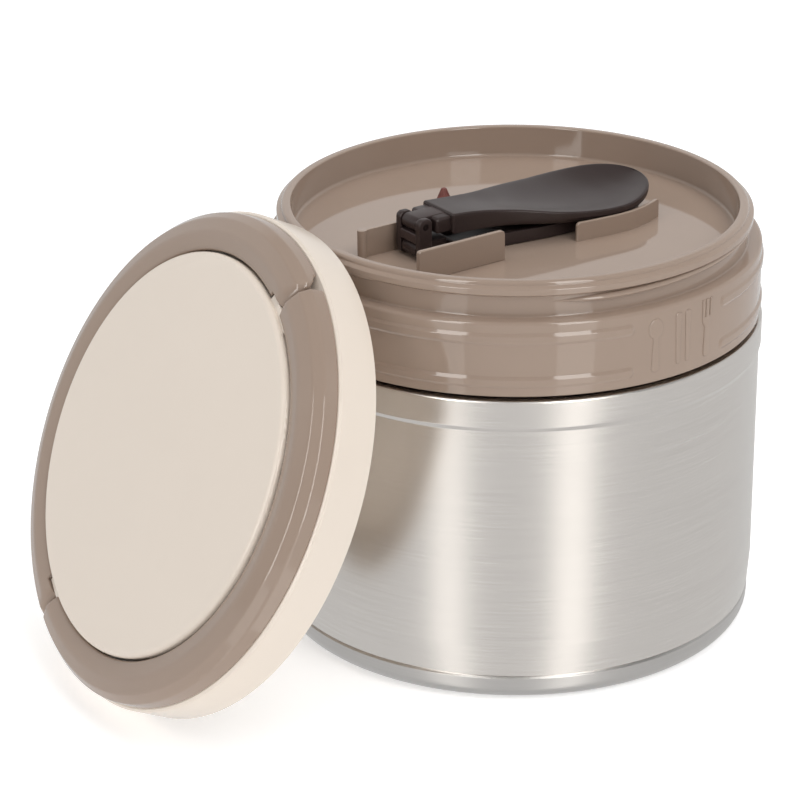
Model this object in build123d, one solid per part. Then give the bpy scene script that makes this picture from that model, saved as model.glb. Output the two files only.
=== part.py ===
from build123d import *
from math import asin, cos, radians, sin, sqrt, tan
import os

# Insulated food jar: a double-walled steel vessel, a screw-on inner lid whose tray holds a
# folding spoon and a vent plug, and an outer cover with a bail handle that leans on the jar.
# Millimetres. The origin is the middle of the base on the table, and +Z is up.

# ---------------------------------------------------------------- driving sizes: steel vessel
body_r = 72.4            # steel body, outside
sheet = 0.6              # thickness of the steel sheet
soft = 0.3               # rounding of every small edge
shell_top = 94.0         # height of the shoulder that the lid's collar stands over
band_proud = 0.6         # how far the rolled band stands out of the body
band_h = 8.0             # height of the rolled band under the shoulder
band_run = 1.4           # height of the slope between the band and the body
band_round = 1.2         # rounding of the band's top edge
shoulder_round = 0.9     # rounding where the shoulder meets the neck
foot_taper = 0.7         # how much the body draws in towards the base
taper_top = 18.0         # where that draw starts
base_h = 7.7             # height of the base cap, up to the groove
base_round = 4.8         # rounding of the bottom edge
groove = 0.5             # bevel on each side of the groove
lip_h = 4.0              # spigot of the base cap inside the shell
stamp_r = 44.0           # inside radius of the ring stamped in the base
stamp_w = 7.0            # width of that ring
stamp_d = 0.8            # depth of that ring
shoulder_w = 5.4         # from the body in to the neck
mouth_z = 114.0          # top of the vessel's mouth
neck_gap = 3.0           # from the neck in to the food liner
liner_floor = 10.0       # underside of the liner
liner_round = 12.0       # rounding of the liner's bottom corner
getter_r = 10.0          # disc of getter metal in the vacuum
getter_h = 1.2

# ---------------------------------------------------------------- driving sizes: inner lid
collar_set = 0.2         # how far the collar stands in from the body
collar_wall = 3.0
collar_gap = 1.5         # dark gap between the collar and the steel shoulder
shoulder_z = 117.9       # top of the collar, where the cover would sit
collar_round = 0.8
grip_z = (98.6, 111.0)   # undersides of the two raised grip bands
grip_h = 3.9
grip_proud = 0.4
grip_slope = 1.2         # height of the slope above and below a band
grip_gap_from = 294.7    # bearing where the bands stop for the plain panel
grip_gap_to = 321.4
rim_step = 4.2           # from the collar in to the threaded rim of the tray
rim_z = 127.3            # top of the rim
rim_round = 1.0
bead_proud = 1.4         # bead round the top of the rim
bead_z = 124.9
bead_half = 1.2
bead_flat = 0.5          # half the height of the bead's flat crest
rim_wall = 2.8           # thickness of the rim
tray_depth = 9.5
tray_round = 1.0
floor_t = 2.0            # floor of the tray
plug_gap = 2.4           # from the food liner in to the hollow plug under the tray
plug_wall = 1.8
plug_depth = 19.8
plug_round = 4.0
foam_gap = 0.2           # room round the foam filling
seal_edge = 0.4          # from the neck in to the edge of the silicone seal
seal_gap = 0.3           # room round the silicone seal
seal_seat = 0.1          # play between the seal and the mouth
seal_lip = 3.2           # how far the seal's lip reaches into the mouth
seal_lip_t = 1.5

# ---------------------------------------------------------------- driving sizes: vent plug
vent_u, vent_n = 26.5, 20.3    # place from the pins along the spoon's line, and across it
vent_stem_r = 2.5
vent_fit = 0.08          # running clearance of the stem
vent_knob_r = 4.5
vent_knob_h = 9.2
vent_tip_r = 0.8
vent_tip_round = 0.5
vent_rise = 2.8          # travel when it is pulled up
vent_barb_r = 3.4
vent_barb_h = 2.4
vent_tube_r = 4.0        # tube through the foam, inside
vent_tube_wall = 1.3

# ---------------------------------------------------------------- driving sizes: clips in the tray
spoon_turn = 35.0        # bearing of the spoon's line
clip_t = 1.6             # thickness of the clip walls
front_clip = (-10.8, 19.2)    # reach of the straight clip in front of the spoon, from the pins
front_clip_n = -19.5     # its front face
front_clip_h = 9.0
back_clip = (-12.3, 7.2)      # reach of the straight clip behind the link, from the pins
back_clip_h = 8.2
back_post_r = 1.4        # rounded post at the end of that clip
curved_clip_h = 5.5
curved_clip = (36.8, 4.4)     # reach of the two curved clips round the bowl, back from its tip
clip_corner = 1.8
side_gap = 0.35          # room between the bowl and the curved clips
back_gap = 1.6           # room between the link and the clip behind it

# ---------------------------------------------------------------- driving sizes: folding spoon
spoon_n = -1.8           # middle of the spoon across its line
seat_gap = 0.3           # spoon handle above the tray floor
link_w = 11.7            # width of the link
link_r = 2.25            # half thickness of the link, and its reach past the pins
link_round = 1.9         # rounding of its ends
link_room = 28.0         # from the tray's wall to the pins, along the spoon's line
pin_low = 2.75           # lower pin above the tray floor
pin_span = 7.7           # distance between the two pins
cheek_t = 2.2            # side cheeks of the link
cheek_gap = 0.3          # room of the tongues between the cheeks
tongue_r = 2.1           # rounded end of both tongues
spoon_pin_r = 1.0
pin_fit = 0.05           # running clearance of every hinge pin
neck_w = 15.0            # width of both necks
neck_set = 9.0           # from the pins to the square end of both necks
root_set = 3.4           # from the pins to the block at the root of the bowl's neck
root_inset = 1.1         # how far that block stands in from the neck's sides
root_drop = 0.6          # and from its top and underside
tip_room = 20.8          # from the bowl's tip to the tray's wall
bowl_end = 20.4          # from the bowl's widest place to its tip
bowl_half = 18.4
bowl_neck_top = 12.9     # heights above the tray floor
waist_set, bowl_waist_top = 26.2, 9.8   # place on the falling top, from the neck's end, and its height
bowl_rim_top = 7.5
bowl_tip_top = 9.8
bowl_neck_low = 7.1
bowl_low = 4.3
bowl_tip_low = 6.6
bowl_dish = 2.2          # depth of the dish
dish_reach = 40.5        # length of the dish
dish_tilt = 2.0          # how far the dish turns up towards the tip, in degrees
bowl_rim = 1.9           # rim left round the dish
dish_sag = 5.0           # height of the dish's centre of curvature over the rim
bowl_wall = 1.3          # upright wall under the bowl's rim, before it tapers
bowl_taper = 3.2         # how far the underside draws in
handle_short = 2.0       # how much shorter the handle is than the bowl
handle_half = 11.5
handle_end = 30.0        # from the handle's widest place to its tip
handle_top = 3.9         # raised edge of the handle
handle_floor = 1.9       # floor of the trough in the handle
handle_rim = 2.0

# ---------------------------------------------------------------- driving sizes: outer cover
cover_set = 0.1          # how far the cover stands in from the collar
cover_wall = 2.0
skirt_h = 12.2           # height of the skirt, up to the ring seat
skirt_bevel = 0.7
mouth_round = 0.4
ceiling_round = 1.0
disc_rise = 8.6          # top of the raised plate above its seat on the skirt
disc_wall = 2.0
disc_round = 1.6
ring_gap = 0.6           # dark gap between the plate and the ring
ring_set = 0.9           # from the cover's side in to the ring
ring_w = 12.3            # width of the ring at its seat
ring_seat_gap = 0.3
ring_inner_rise = 7.1    # heights of the ring above its seat
ring_crown_rise = 8.2
ring_edge_rise = 6.6
ring_flank_rise = 4.1
ring_crown_in = 7.2      # from the outside of the ring in to its crown, soft edge and flank
ring_edge_in = 2.8
ring_flank_in = 0.6
ring_inner_round = 1.0   # roundings of the ring's inner edge, crown and soft edge
ring_crown_round = 4.0
ring_edge_round = 0.9
hinge_y = 2.0            # pin axis, off the middle line towards the bail
knuckle_r = 3.4          # round ends of the bail about its pins
joint_gap = 0.5          # gap between the bail's knuckle and the fixed half ring
lug_out = 2.0            # how far the boss round each pin stands out of the plate
lug_tail = 10.5          # length of the boss from the pin towards the fixed half ring
lug_rise = 6.7           # top of the boss above the seat
lug_fit = 0.3            # room round the boss
lug_relief = 0.1         # how much further than the knuckle the bail is cut away round the boss
bail_pin_r = 1.1
bail_pin_in = 2.2        # length of the pin inside the plate's wall
bail_pin_out = 6.5       # length of the pin in the bail

# ---------------------------------------------------------------- driving sizes: the leaning cover
hook_h = 0.125           # height of the mouth's upper edge over the rim that it hooks on
cover_bearing = 210.4    # bearing of that axis and of the cover from the jar
cover_spin = 64.0        # turn of the bail's pins about the cover's axis
lean_gap = 0.35          # room between the mouth of the cover and the rim it leans on

# ---------------------------------------------------------------- sizes that follow
band_r = body_r + band_proud
band_z = shell_top - band_h
neck_r = body_r - shoulder_w
liner_wall_r = neck_r - neck_gap
liner_r = liner_wall_r - sheet
collar_r = body_r - collar_set
rim_r = collar_r - rim_step
tray_r = rim_r - rim_wall
plug_r = liner_r - plug_gap
seal_out_r = neck_r - seal_edge
collar_low = shell_top + collar_gap
collar_in = collar_r - collar_wall
bead_r = rim_r + bead_proud
floor_z = rim_z - tray_depth
floor_r = tray_r - 2 * tray_round
under_z = floor_z - floor_t
plug_low = under_z - plug_depth
seal_low = mouth_z + seal_seat
link_half = link_w / 2
neck_half = neck_w / 2
tongue_half = link_half - cheek_t - cheek_gap
pin_high = pin_low + pin_span
link_u = link_room - tray_r
neck_u = link_u + neck_set
bowl_tip = tray_r - tip_room
bowl_wide_u = bowl_tip - bowl_end
handle_tip = bowl_tip - handle_short
handle_wide_u = handle_tip - handle_end
back_clip_n = spoon_n + link_half + back_gap
cover_r = collar_r - cover_set
mouth_r = cover_r - cover_wall
ceiling_h = skirt_h - cover_wall
disc_h = skirt_h + disc_rise
ring_inner_h = skirt_h + ring_inner_rise
ring_crown_h = skirt_h + ring_crown_rise
ring_edge_h = skirt_h + ring_edge_rise
ring_flank_h = skirt_h + ring_flank_rise
lug_top_h = skirt_h + lug_rise
ring_out = cover_r - ring_set
ring_in = ring_out - ring_w
disc_r = ring_in - ring_gap
hinge_h = ring_crown_h - knuckle_r
half_ring_y = hinge_y - knuckle_r - joint_gap
lug_r = knuckle_r + lug_relief - lug_fit
pin_start = disc_r - bail_pin_in
pin_end = disc_r + lug_out + bail_pin_out


# ---------------------------------------------------------------- helpers
def face_of(corners):
    """Flat face from (x, y, rounding) corners."""
    points = [(x, y) for x, y, _ in corners]
    roundings = [rounding for _, _, rounding in corners]
    return make_face(FilletPolyline(*points, radius=roundings, close=True))


def turned(corners, arc=360.0, start=0.0):
    """Solid of revolution about Z from (radius, height, rounding) corners."""
    return Rot(0, 0, start) * revolve(Plane.XZ * face_of(corners), Axis.Z, arc)


def upright(face, half_width):
    """Solid from a side view drawn in (u, height), spread both ways across the spoon's line."""
    return extrude(Plane.XZ * face, half_width, both=True)


def rod(radius, length):
    """Round bar along X from the origin."""
    return Plane.YZ * extrude(Circle(radius), length)


# ---------------------------------------------------------------- frames
tray_frame = Pos(0, 0, floor_z) * Rot(0, 0, spoon_turn)
spoon_frame = tray_frame * Pos(0, spoon_n, 0)
# The cover stands on its skirt's edge, its mouth's plane passes just outside the rim, and the
# upper inside edge of the mouth is level with the top of the rim.
tilt, bearing = asin((rim_z + hook_h) / (2 * cover_r - cover_wall)), radians(cover_bearing)
cover_away = rim_r + lean_gap + rim_z / tan(tilt) - cover_r * cos(tilt)
cover_origin = (cover_away * cos(bearing), cover_away * sin(bearing), cover_r * sin(tilt))
cover_axis = (sin(tilt) * cos(bearing), sin(tilt) * sin(bearing), cos(tilt))
cover_level = (-sin(bearing), cos(bearing), 0)
cover_frame = Location(Plane(cover_origin, x_dir=cover_level, z_dir=cover_axis)) * Rot(0, 0, cover_spin)


# ---------------------------------------------------------------- steel vessel
def outer_shell():
    """Drawn steel body: tapered foot, straight wall, rolled band, flat shoulder and neck."""
    foot_r = body_r - foot_taper
    return turned([
        (foot_r - groove, base_h, 0),
        (foot_r, base_h + groove, 0),
        (body_r, taper_top, 0),
        (body_r, band_z - band_run, 0),
        (band_r, band_z, 0),
        (band_r, shell_top, band_round),
        (neck_r, shell_top, shoulder_round),
        (neck_r, mouth_z - sheet, 0),
        (neck_r - sheet, mouth_z - sheet, 0),
        (neck_r - sheet, shell_top - sheet, shoulder_round - sheet),
        (band_r - sheet, shell_top - sheet, band_round - sheet),
        (band_r - sheet, band_z, 0),
        (body_r - sheet, band_z - band_run, 0),
        (body_r - sheet, taper_top, 0),
        (foot_r - sheet, base_h, 0),
    ])


def inner_vessel():
    """Food liner: one drawn cup whose mouth flange closes the top of the neck."""
    return turned([
        (0, liner_floor, 0),
        (liner_wall_r, liner_floor, liner_round),
        (liner_wall_r, mouth_z - sheet, 0),
        (neck_r, mouth_z - sheet, 0),
        (neck_r, mouth_z, sheet / 2),
        (liner_r, mouth_z, sheet / 2),
        (liner_r, liner_floor + sheet, liner_round - sheet),
        (0, liner_floor + sheet, 0),
    ])


def base_cap():
    """Pressed base: rounded edge, stamped ring, and a spigot that enters the shell."""
    cap_r = body_r - foot_taper
    spigot_r = cap_r - sheet - pin_fit
    stamp_in, stamp_out = stamp_r + stamp_d, stamp_r + stamp_w - stamp_d
    return turned([
        (0, 0, 0),
        (stamp_r, 0, 0),
        (stamp_in, stamp_d, 0),
        (stamp_out, stamp_d, 0),
        (stamp_r + stamp_w, 0, 0),
        (cap_r, 0, base_round),
        (cap_r, base_h - groove, 0),
        (cap_r - groove, base_h, 0),
        (spigot_r, base_h, 0),
        (spigot_r, base_h + lip_h, 0),
        (spigot_r - sheet, base_h + lip_h, 0),
        (spigot_r - sheet, sheet, base_round - sheet),
        (stamp_r + stamp_w, sheet, 0),
        (stamp_out, sheet + stamp_d, 0),
        (stamp_in, sheet + stamp_d, 0),
        (stamp_r, sheet, 0),
        (0, sheet, 0),
    ])


def getter_disc():
    """Getter disc fixed under the liner, in the vacuum between the walls."""
    return Pos(0, 0, liner_floor - getter_h / 2) * Cylinder(getter_r, getter_h)


# ---------------------------------------------------------------- inner lid
def grip_band(low):
    """Low raised band round the collar, open at the plain panel."""
    return turned([
        (collar_r - collar_wall / 2, low, 0),
        (collar_r, low, 0),
        (collar_r + grip_proud, low + grip_slope, soft),
        (collar_r + grip_proud, low + grip_h - grip_slope, soft),
        (collar_r, low + grip_h, 0),
        (collar_r - collar_wall / 2, low + grip_h, 0),
    ], arc=360 - (grip_gap_to - grip_gap_from), start=grip_gap_to)


def lid_collar():
    """Collar and threaded rim of the lid, with a ledge that carries the tray's floor."""
    body = turned([
        (floor_r, under_z, 0),
        (collar_in, under_z, soft),
        (collar_in, collar_low, soft),
        (collar_r, collar_low, soft),
        (collar_r, shoulder_z, collar_round),
        (rim_r, shoulder_z, soft),
        (rim_r, bead_z - bead_half, 0),
        (bead_r, bead_z - bead_flat, soft),
        (bead_r, bead_z + bead_flat, soft),
        (rim_r, bead_z + bead_half, 0),
        (rim_r, rim_z, rim_round),
        (tray_r, rim_z, soft),
        (tray_r, floor_z, tray_round),
        (floor_r, floor_z, 0),
    ])
    for low in grip_z:
        body += grip_band(low)
    return body


def tray_floor():
    """Floor of the tray, with the hole for the vent plug."""
    disc = Pos(0, 0, floor_z - floor_t / 2) * Cylinder(floor_r, floor_t)
    return disc - vent_place() * Cylinder(vent_stem_r + vent_fit, 4 * floor_t)


def straight_clip(reach, height, front):
    """Upright wall along the spoon's line with rounded top corners."""
    start, end = link_u + reach[0], link_u + reach[1]
    side = face_of([
        (start, 0, 0),
        (end, 0, 0),
        (end, height, clip_corner),
        (start, height, clip_corner),
    ])
    return Pos(0, front + clip_t, 0) * extrude(Plane.XZ * side, clip_t)


def clip_front():
    """Straight clip in front of the spoon's neck."""
    return tray_frame * straight_clip(front_clip, front_clip_h, front_clip_n)


def clip_back():
    """Straight clip behind the link, ending in a rounded post."""
    wall = straight_clip(back_clip, back_clip_h, back_clip_n)
    post = Pos(link_u + back_clip[0], back_clip_n + clip_t / 2, back_clip_h / 2) * Cylinder(
        back_post_r, back_clip_h)
    return tray_frame * (wall + post)


def curved_clip_wall(side):
    """Low wall that follows the bowl; side is -1 in front of the spoon and 1 behind it."""
    start, end = bowl_tip - curved_clip[0], bowl_tip - curved_clip[1]
    outline = bowl_plan(-side_gap - clip_t) - bowl_plan(-side_gap)
    middle = Pos((start + end) / 2, side * bowl_half, 0)
    reach = middle * Box(end - start, 2 * bowl_half, 4 * curved_clip_h)
    return spoon_frame * (extrude(outline, curved_clip_h) & reach)


def vent_place():
    """Frame of the vent plug: its axis, with its height from the tray floor."""
    return tray_frame * Pos(link_u + vent_u, vent_n, 0)


def lid_plug():
    """Hollow plug welded under the tray, with the tube that the vent passes through."""
    cup = turned([
        (0, plug_low, 0),
        (plug_r, plug_low, plug_round),
        (plug_r, under_z, 0),
        (plug_r - plug_wall, under_z, 0),
        (plug_r - plug_wall, plug_low + plug_wall, plug_round - plug_wall),
        (0, plug_low + plug_wall, 0),
    ])
    down = (Align.CENTER, Align.CENTER, Align.MAX)
    tube = Cylinder(vent_tube_r + vent_tube_wall, plug_depth, align=down)
    bore = Pos(0, 0, 1) * Cylinder(vent_tube_r, plug_depth + 2, align=down)
    place = vent_place() * Pos(0, 0, -floor_t)
    return cup + place * tube - place * bore


def lid_foam():
    """Insulating foam that fills the plug."""
    foam_r = plug_r - plug_wall - foam_gap
    body = turned([
        (0, plug_low + plug_wall, 0),
        (foam_r, plug_low + plug_wall, plug_round - plug_wall),
        (foam_r, under_z - foam_gap, 0),
        (0, under_z - foam_gap, 0),
    ])
    hole = Cylinder(vent_tube_r + vent_tube_wall + foam_gap, 4 * plug_depth)
    return body - vent_place() * hole


def lid_seal():
    """Silicone seal: a flat ring over the mouth and a lip inside it."""
    inside = plug_r + seal_gap
    return turned([
        (inside, mouth_z - seal_lip, soft),
        (inside + seal_lip_t, mouth_z - seal_lip, soft),
        (inside + seal_lip_t, seal_low, 0),
        (seal_out_r, seal_low, soft),
        (seal_out_r, under_z, 0),
        (inside, under_z, 0),
    ])


def vent_plug():
    """Silicone vent plug: conical knob, stem through the tray floor, and a barb under it."""
    barb_top = -floor_t - vent_rise - vent_fit
    body = turned([
        (0, barb_top - vent_barb_h, 0),
        (vent_stem_r, barb_top - vent_barb_h, 0),
        (vent_barb_r, barb_top, 0),
        (vent_stem_r, barb_top, 0),
        (vent_stem_r, 0, 0),
        (vent_knob_r, 0, soft),
        (vent_tip_r, vent_knob_h, vent_tip_round),
        (0, vent_knob_h, 0),
    ])
    return vent_place() * body


# ---------------------------------------------------------------- folding spoon
def link_side():
    """Side view of the link: two round ends round the pins."""
    low, high = pin_low - link_r, pin_high + link_r
    left, right = link_u - link_r, link_u + link_r
    return face_of([
        (left, low, link_round),
        (right, low, link_round),
        (right, high, link_round),
        (left, high, link_round),
    ])


def cross_bar(radius, half_length, height):
    """Round bar across the spoon at the pins' place."""
    return Pos(link_u, 0, height) * Rot(90, 0, 0) * Cylinder(radius, 2 * half_length)


def spoon_link():
    """Double-pivot link: two cheeks joined by a web between the tongues."""
    body = upright(link_side(), link_half)
    slot_half = tongue_half + cheek_gap
    reach = tongue_r + cheek_gap
    for height, outward in ((pin_low, -1), (pin_high, 1)):
        body -= cross_bar(reach, slot_half, height)
        far = height + outward * 2 * link_r
        low, high = min(height, far), max(height, far)
        block = Pos(link_u, 0, (low + high) / 2) * Box(2 * reach, 2 * slot_half, high - low)
        side = Pos(link_u, 0, height) * Box(4 * link_r, 2 * slot_half, 2 * reach)
        body -= block + side
        body -= cross_bar(spoon_pin_r, link_half + 1, height)
    return spoon_frame * body


def tongue(height):
    """Flat tongue with a round end that turns between the link's cheeks."""
    length = neck_u - link_u
    body = Pos(link_u + length / 2, 0, height) * Box(length, 2 * tongue_half, 2 * tongue_r)
    body += cross_bar(tongue_r, tongue_half, height)
    return body - cross_bar(spoon_pin_r + pin_fit, tongue_half + 1, height)


def paddle(tip, wide_u, half, start_half, inset=0.0):
    """Plan outline that swells from a square neck to a round end, drawn inset from its edge."""
    start = neck_u + inset
    narrow, wide = start_half - inset, half - inset
    end = tip - inset
    up = Spline((start, narrow), (wide_u, wide), tangents=((1, 0), (1, 0)))
    nose = Spline((wide_u, wide), (end, 0), tangents=((1, 0), (0, -1)),
                  tangent_scalars=(1.15, 1.15))
    shore = [up, nose]
    mirrored = [edge.mirror(Plane.XZ) for edge in shore]
    closing = Line((start, narrow), (start, -narrow))
    return make_face(shore + mirrored + [closing])


def bowl_plan(inset=0.0):
    """Plan outline of the bowl, drawn inset from its edge."""
    return paddle(bowl_tip, bowl_wide_u, bowl_half, neck_half, inset)


def spoon_bowl():
    """Spoon bowl: swelling plan, tapered underside, a top that falls from the neck, and a dish."""
    wall_low = bowl_rim_top - bowl_wall
    blank = Pos(0, 0, wall_low) * extrude(bowl_plan(), bowl_neck_top - wall_low)
    blank += loft([Pos(0, 0, wall_low) * bowl_plan(), Pos(0, 0, bowl_low) * bowl_plan(bowl_taper)])
    top = Spline((neck_u, bowl_neck_top), (neck_u + waist_set, bowl_waist_top), (bowl_wide_u, bowl_rim_top),
                 (bowl_tip, bowl_tip_top), tangents=((1, -0.06), (1, 0.1)))
    keel = Spline((neck_u, bowl_neck_low), (bowl_wide_u, bowl_low), (bowl_tip, bowl_tip_low),
                  tangents=((1, -0.02), (1, 0.25)))
    side = make_face([top, keel, Line(top @ 0, keel @ 0), Line(top @ 1, keel @ 1)])
    body = blank & upright(side, 2 * bowl_half)
    dish_end = bowl_tip - bowl_rim
    dish_start = dish_end - dish_reach
    dish_half = bowl_half - bowl_rim
    depth = bowl_dish + dish_sag
    grow = 1 / sqrt(1 - (dish_sag / depth) ** 2)
    stretch = (grow * (dish_end - dish_start) / 2, grow * dish_half, depth)
    dish = Pos((dish_start + dish_end) / 2, 0, bowl_rim_top + dish_sag) * Rot(0, -dish_tilt, 0) * scale(
        Sphere(1), by=stretch)
    body -= dish
    root_u = link_u + root_set
    root_low, root_top = bowl_neck_low + root_drop, bowl_neck_top - root_drop
    root = Box(neck_u - root_u, 2 * (neck_half - root_inset), root_top - root_low)
    body += Pos((root_u + neck_u) / 2, 0, (root_low + root_top) / 2) * root
    body += tongue(pin_high)
    return spoon_frame * body


def handle_plan(inset=0.0):
    """Plan outline of the handle, drawn inset from its edge."""
    return paddle(handle_tip, handle_wide_u, handle_half, neck_half, inset)


def spoon_handle():
    """Spoon handle: a paddle with a raised edge that nests under the bowl."""
    body = Pos(0, 0, seat_gap) * extrude(handle_plan(), handle_top - seat_gap)
    body -= Pos(0, 0, handle_floor) * extrude(handle_plan(handle_rim), handle_top)
    body += tongue(pin_low)
    return spoon_frame * body


def spoon_pin(height):
    """Steel pin through both cheeks and a tongue."""
    return spoon_frame * cross_bar(spoon_pin_r, link_half, height)


# ---------------------------------------------------------------- outer cover
def cover_shell():
    """Cover: skirt with a bevelled shoulder, and the flat seat for the ring and the plate."""
    return cover_frame * turned([
        (mouth_r, 0, mouth_round),
        (cover_r, 0, mouth_round),
        (cover_r, skirt_h - skirt_bevel, 0),
        (cover_r - skirt_bevel, skirt_h, 0),
        (0, skirt_h, 0),
        (0, ceiling_h, 0),
        (mouth_r, ceiling_h, ceiling_round),
    ])


def pin_axis(side):
    """Frame whose X runs outwards along a bail pin; side is 1 or -1."""
    turn = 0 if side > 0 else 180
    return Pos(0, hinge_y, hinge_h) * Rot(0, 0, turn)


def cover_plate():
    """Raised plate: a shallow cap on the seat, with a boss at each bail pin."""
    body = turned([
        (disc_r - disc_wall, skirt_h, 0),
        (disc_r, skirt_h, 0),
        (disc_r, disc_h, disc_round),
        (0, disc_h, 0),
        (0, disc_h - disc_wall, 0),
        (disc_r - disc_wall, disc_h - disc_wall, soft),
    ])
    hollow = Cylinder(disc_r - disc_wall, 3 * disc_h)
    for side in (1, -1):
        body += lug(side) - hollow
        body -= pin_axis(side) * rod(bail_pin_r, pin_end)
    return cover_frame * body


def lug(side, fit=0.0):
    """Boss round a bail pin, with a tail towards the fixed half ring, grown by a fit."""
    radius, top = lug_r + fit, lug_top_h + fit
    length = lug_tail + fit
    reach = disc_r + lug_out + fit
    block = Pos(side * reach / 2, hinge_y - length / 2, hinge_h) * Box(reach, length, 2 * radius)
    height = top - skirt_h
    keep = Pos(0, 0, skirt_h + height / 2) * Cylinder(reach, height)
    return (block + pin_axis(side) * rod(radius, reach)) & keep


def ring_section(gap_under):
    """Corners of the ring's cross-section, over a gap above its seat."""
    return [
        (ring_in, skirt_h + gap_under, soft),
        (ring_in, ring_inner_h, ring_inner_round),
        (ring_out - ring_crown_in, ring_crown_h, ring_crown_round),
        (ring_out - ring_edge_in, ring_edge_h, ring_edge_round),
        (ring_out - ring_flank_in, ring_flank_h, ring_edge_round),
        (ring_out, skirt_h + gap_under, soft),
    ]


def beyond(y, side):
    """Large block on one side of the plane y, in the cover's frame."""
    size = 4 * cover_r
    return Pos(0, y + side * size / 2, 0) * Box(size, size, size)


def fixed_half_ring():
    """Half ring fixed to the cover, cut square beside the bail's knuckles."""
    body = turned(ring_section(0)) & beyond(half_ring_y, -1)
    for side in (1, -1):
        body -= lug(side, lug_fit)
    return cover_frame * body


def bail_handle():
    """Bail: the other half of the ring, with a round knuckle on each pin."""
    ring = turned(ring_section(ring_seat_gap))
    body = ring & beyond(hinge_y, 1)
    for side in (1, -1):
        knuckle = pin_axis(side) * rod(knuckle_r, 2 * cover_r)
        body += ring & knuckle
    for side in (1, -1):
        body -= pin_axis(side) * rod(lug_r + lug_fit, disc_r + lug_out + lug_fit)
        body -= pin_axis(side) * rod(bail_pin_r + pin_fit, pin_end + lug_fit)
    return cover_frame * body


def bail_pin(side):
    """Steel pin from the plate's wall through its boss into the bail."""
    return cover_frame * pin_axis(side) * Pos(pin_start, 0, 0) * rod(bail_pin_r, pin_end - pin_start)


# ---------------------------------------------------------------- the separate pieces
pieces = {
    "outer_shell": outer_shell(),
    "inner_vessel": inner_vessel(),
    "base_cap": base_cap(),
    "getter_disc": getter_disc(),
    "lid_collar": lid_collar(),
    "tray_floor": tray_floor(),
    "clip_front": clip_front(),
    "clip_back": clip_back(),
    "clip_curved_front": curved_clip_wall(-1),
    "clip_curved_back": curved_clip_wall(1),
    "lid_plug": lid_plug(),
    "lid_foam": lid_foam(),
    "lid_seal": lid_seal(),
    "vent_plug": vent_plug(),
    "spoon_handle": spoon_handle(),
    "spoon_link": spoon_link(),
    "spoon_bowl": spoon_bowl(),
    "spoon_pin_lower": spoon_pin(pin_low),
    "spoon_pin_upper": spoon_pin(pin_high),
    "cover_shell": cover_shell(),
    "cover_plate": cover_plate(),
    "fixed_half_ring": fixed_half_ring(),
    "bail_handle": bail_handle(),
    "bail_pin_upper": bail_pin(1),
    "bail_pin_lower": bail_pin(-1),
}

os.makedirs("parts", exist_ok=True)
for node, solid in pieces.items():
    solid.label = node
    export_step(solid, f"parts/{node}.step")
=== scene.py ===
from math import acos, asin, atan2, cos, pi, radians, sin, tan

import bmesh
import bpy
import numpy as np
from bpy.props import FloatProperty, FloatVectorProperty, IntProperty, PointerProperty
from bpy.types import Operator, Panel, PropertyGroup
from mathutils import Matrix


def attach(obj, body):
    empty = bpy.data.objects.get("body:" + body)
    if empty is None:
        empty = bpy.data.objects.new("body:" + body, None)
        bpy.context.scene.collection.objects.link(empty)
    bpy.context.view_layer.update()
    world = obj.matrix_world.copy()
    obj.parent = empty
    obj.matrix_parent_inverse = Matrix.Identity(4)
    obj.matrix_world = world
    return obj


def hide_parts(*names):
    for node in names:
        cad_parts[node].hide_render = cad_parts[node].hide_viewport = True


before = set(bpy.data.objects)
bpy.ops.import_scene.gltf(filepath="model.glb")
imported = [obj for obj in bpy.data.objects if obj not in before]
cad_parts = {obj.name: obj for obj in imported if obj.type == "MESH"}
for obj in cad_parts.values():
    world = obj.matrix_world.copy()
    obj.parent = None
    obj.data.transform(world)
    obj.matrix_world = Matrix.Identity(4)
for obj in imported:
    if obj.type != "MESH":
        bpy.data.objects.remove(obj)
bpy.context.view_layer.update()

bl_info = {
    "name": "Insulated food jar",
    "version": (1, 0, 0),
    "blender": (4, 5, 0),
    "location": "3D View > Sidebar > Food jar",
    "description": "Dresses the packed assembly of an insulated food jar",
    "category": "Object",
}

MM = 0.001
CREASE = 30.0

# ---- sizes in millimetres and degrees: steel vessel
SHEET = 0.6
BODY_R = 72.4
BAND_R = 73.0
FOOT_R = 71.7
FOOT_ROUND = 4.8
BASE_H = 7.7
GROOVE = 0.5
LIP_R = 71.05
LIP_H = 4.0
STAMP_R, STAMP_W, STAMP_D = 44.0, 7.0, 0.8
TAPER_Z = 18.0
BAND_LOW, BAND_FULL = 84.6, 86.0
SHOULDER_Z = 94.0
NECK_R = 67.0
MOUTH_Z = 114.0
LINER_R, LINER_Z, LINER_ROUND = 64.0, 10.0, 12.0

# ---- inner lid: sizes
COLLAR_R = 72.2
COLLAR_IN = 69.2
COLLAR_LOW = 95.0
COLLAR_TOP = 116.9
RIM_R = 68.0
RIM_TOP = 127.3
BEAD_R = 69.4
BEAD_Z = 124.9
TRAY_R = 65.2
FLOOR_R = 63.2
FLOOR_Z = 117.8
UNDER_Z = 115.8
GRIP_BANDS = ((97.6, 101.1), (110.3, 113.8))
GRIP_FROM, GRIP_TO = 320.6, 655.1
GRIP_SLOPE = 0.9
SPOON_SIGN_AT, STICKS_AT, FORK_SIGN_AT = 300.5, 308.2, 315.8
STICK_APART = 1.75
VENT_U, VENT_N = -10.7, 20.3
CLIP_T = 1.2
CLIP_H = 5.7
FRONT_CLIP = (-48.0, -18.0)
FRONT_CLIP_N = (-19.5, -17.9)
FRONT_CLIP_H = 9.0

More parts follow.
